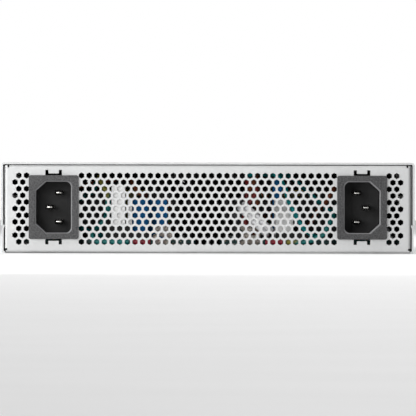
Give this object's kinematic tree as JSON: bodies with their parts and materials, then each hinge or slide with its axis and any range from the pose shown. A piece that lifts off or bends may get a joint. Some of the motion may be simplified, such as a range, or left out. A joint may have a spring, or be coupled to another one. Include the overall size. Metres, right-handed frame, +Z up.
{
  "type": "rackmount network switch",
  "caption": "Half-width rack switch: folded steel case, hex-perforated rear with mains inlets, stacked pluggable ports in front, cooling fans inside.",
  "frame": {"origin": "centre of the bottom of the overall box", "axes": "+Y towards the rear panel with the power inlets, -Y towards the ports, +Z up, +X to the right seen from the front"},
  "size_m": [0.2, 0.508, 0.0438],
  "materials": {
    "moulding_black": "black moulded nylon",
    "fastener_steel": "bright zinc plate",
    "zinc_steel": "satin zinc-plated sheet steel with a fine grain",
    "lead_red": "red wire insulation",
    "lead_green": "green wire insulation",
    "bearing_bronze": "sintered bronze",
    "painted_black": "sheet steel with black powder coat",
    "fan_black": "black glass-filled thermoplastic",
    "screw_black": "black oxide",
    "shaft_steel": "ground steel",
    "stator_copper": "wound copper on a laminated core",
    "front_finish": "satin zinc-plated sheet steel",
    "inlet_black": "moulded, slightly glossy thermoplastic",
    "pin_nickel": "nickel-plated brass",
    "light_pipe": "clear polycarbonate",
    "lead_brown": "brown wire insulation",
    "board_dark": "glass-epoxy with a dark green solder mask",
    "lead_teal": "blue-green wire insulation",
    "moulding_white": "natural moulded nylon",
    "heatsink_aluminium": "extruded, bead-blasted",
    "board_blue_green": "glass-epoxy with a blue-green solder mask",
    "can_sleeve": "shrink sleeve on an aluminium can",
    "copper_wire": "enamelled copper wire",
    "film_blue": "blue epoxy coating",
    "anodised_black": "black anodised plate",
    "box_white": "off-white moulded case",
    "ferrite": "matte dark ferrite",
    "tape_yellow": "yellow polyester tape",
    "varistor_red": "red epoxy coating",
    "cage_nickel": "nickel-plated stamped sheet",
    "lead_white": "white wire insulation",
    "chip_black": "moulded package with a metal lid"
  },
  "bodies": {
    "chassis": {"board_connectors": "moulding_black", "board_screws": "fastener_steel", "board_standoffs": "fastener_steel", "chassis_base": "zinc_steel", "cover_screws": "fastener_steel", "dc_leads": "lead_red", "earth_leads": "lead_green", "fan_bearings": "bearing_bronze", "fan_bracket": "painted_black", "fan_frames": "fan_black", "fan_screws": "screw_black", "fan_stators": "stator_copper", "front_panel": "front_finish", "heatsink_screws": "fastener_steel", "heatsink_springs": "fastener_steel", "inlet_housing_left": "inlet_black", "inlet_housing_right": "inlet_black", "inlet_pins_left": "pin_nickel", "inlet_pins_right": "pin_nickel", "light_pipes": "light_pipe", "live_leads": "lead_brown", "main_board": "board_dark", "memory_module": "board_dark", "network_jacks": "moulding_black", "neutral_leads": "lead_teal", "panel_rivets": "fastener_steel", "power_connectors": "moulding_white", "press_nuts": "fastener_steel", "processor_heatsink": "heatsink_aluminium", "processor_module": "board_dark", "psu_boards": "board_blue_green", "psu_bulk_capacitors": "can_sleeve", "psu_choke_posts": "moulding_black", "psu_chokes": "copper_wire", "psu_film_capacitors": "film_blue", "psu_heatsinks": "anodised_black", "psu_input_terminals": "moulding_black", "psu_relays": "box_white", "psu_transformer_cores": "ferrite", "psu_transformer_windings": "tape_yellow", "psu_varistors": "varistor_red", "qsfp_cages": "cage_nickel", "rear_panel": "zinc_steel", "reset_switch": "moulding_black", "sense_leads": "lead_white", "sfp_cages": "cage_nickel", "switch_chip": "chip_black", "switch_heatsink": "heatsink_aluminium", "top_cover": "zinc_steel", "usb_port": "cage_nickel"},
    "fan_rotor_body_1": {"fan_rotor_1": "fan_black", "fan_shaft_1": "shaft_steel"},
    "fan_rotor_body_2": {"fan_rotor_2": "fan_black", "fan_shaft_2": "shaft_steel"},
    "fan_rotor_body_3": {"fan_rotor_3": "fan_black", "fan_shaft_3": "shaft_steel"},
    "fan_rotor_body_4": {"fan_rotor_4": "fan_black", "fan_shaft_4": "shaft_steel"},
    "reset_plunger": {"reset_button": "moulding_black"}
  },
  "joints": [
    {"name": "fan_1_spin", "type": "hinge", "parent": "chassis", "child": "fan_rotor_body_1", "pos_m": [-0.0705, 0.07, 0.0214], "axis": [0, 1, 0], "continuous": true},
    {"name": "fan_2_spin", "type": "hinge", "parent": "chassis", "child": "fan_rotor_body_2", "pos_m": [-0.0235, 0.07, 0.0214], "axis": [0, 1, 0], "continuous": true},
    {"name": "fan_3_spin", "type": "hinge", "parent": "chassis", "child": "fan_rotor_body_3", "pos_m": [0.0235, 0.07, 0.0214], "axis": [0, 1, 0], "continuous": true},
    {"name": "fan_4_spin", "type": "hinge", "parent": "chassis", "child": "fan_rotor_body_4", "pos_m": [0.0705, 0.07, 0.0214], "axis": [0, 1, 0], "continuous": true},
    {"name": "reset_press", "type": "slide", "parent": "chassis", "child": "reset_plunger", "axis": [0, 1, 0], "range_m": [0, 0.0008], "stiffness_N_per_m": 900, "springref_m": -0.0006}
  ]
}
